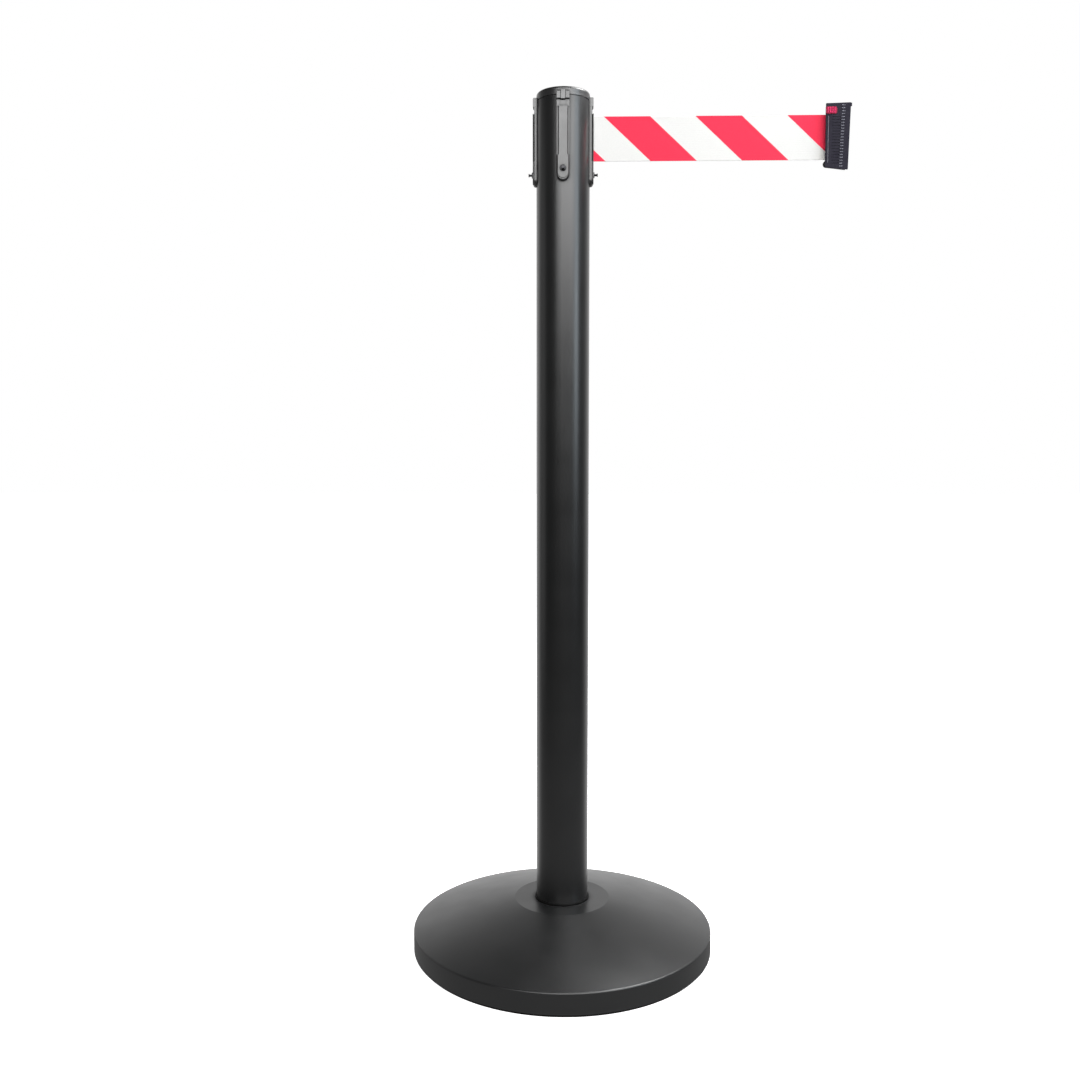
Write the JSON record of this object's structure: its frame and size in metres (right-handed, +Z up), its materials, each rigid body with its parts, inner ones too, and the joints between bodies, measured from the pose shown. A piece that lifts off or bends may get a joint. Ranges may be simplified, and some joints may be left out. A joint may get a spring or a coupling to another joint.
{
  "type": "retractable belt stanchion",
  "caption": "Free-standing black crowd-control post with a weighted round base, docking rails round its head and a striped belt that pulls out sideways to a locking end clip.",
  "frame": {"origin": "on the floor, on the axis of the post, in the plane of the base's underside", "axes": "+Z up along the post, +X the way the belt leaves the head, +Y away from the front rail"},
  "size_m": [0.5031, 0.355, 1],
  "materials": {
    "black_coat": "satin black powder coat, very fine texture",
    "cast_iron": "bare grey casting",
    "black_rubber": "dull black rubber",
    "zinc_steel": "zinc-plated steel",
    "black_steel": "polished black steel",
    "spring_steel": "blued spring steel",
    "trim_plastic": "dull black moulded plastic",
    "strip_plastic": "fine-grained dark grey moulded plastic",
    "cap_plastic": "fine-grained black moulded plastic",
    "inner_plastic": "natural grey moulded plastic",
    "spool_plastic": "natural nylon",
    "bush_brass": "sintered bearing brass",
    "felt": "pressed felt",
    "striped_webbing": "red and white diagonal stripes on fine flat webbing",
    "clip_plastic": "bluish dark grey moulded plastic, ribbed",
    "red_plastic": "crimson moulded plastic, semi-gloss"
  },
  "bodies": {
    "stand": {"base_cover": "black_coat", "base_weight": "cast_iron", "floor_ring": "black_rubber", "tie_bolt": "zinc_steel", "tie_washer": "zinc_steel", "foot_plug": "zinc_steel", "foot_collar": "trim_plastic", "post_tube": "black_coat", "receiver_front": "strip_plastic", "receiver_left": "strip_plastic", "receiver_back": "strip_plastic", "belt_outlet": "strip_plastic", "stop_studs": "black_steel", "top_cap": "cap_plastic", "cassette_body": "inner_plastic", "cassette_lid": "inner_plastic", "lid_screws": "zinc_steel", "spindle": "zinc_steel", "guide_pins": "zinc_steel", "spring_cover": "inner_plastic", "drag_washer": "felt"},
    "spool_body": {"spool": "spool_plastic", "spool_bushes": "bush_brass", "belt_roll": "striped_webbing", "power_spring": "spring_steel"},
    "belt_end": {"belt_span": "striped_webbing", "clip_front_shell": "clip_plastic", "clip_rear_shell": "clip_plastic", "clip_screws": "black_steel", "belt_clamp_pin": "zinc_steel", "stop_bumper": "black_rubber", "detent_leaf": "spring_steel"},
    "clip_lock": {"lock_slider": "red_plastic", "lock_bolt": "spool_plastic"}
  },
  "joints": [
    {"name": "belt_pull", "type": "slide", "parent": "stand", "child": "belt_end", "axis": [1, 0, 0], "range_m": [-0.26125, 1.73875], "deforming": ["belt_span"]},
    {"name": "spool_spin", "type": "hinge", "parent": "stand", "child": "spool_body", "pos_m": [0, 0, 0.9497], "axis": [0, 0, 1], "continuous": true, "deforming": ["power_spring", "belt_roll"]},
    {"name": "lock_slide", "type": "slide", "parent": "belt_end", "child": "clip_lock", "axis": [1, 0, 0], "range_m": [0, 0.003]}
  ],
  "couplings": [
    {"joint": "spool_spin", "follows": "belt_pull", "rad_per_m": 67.4}
  ]
}
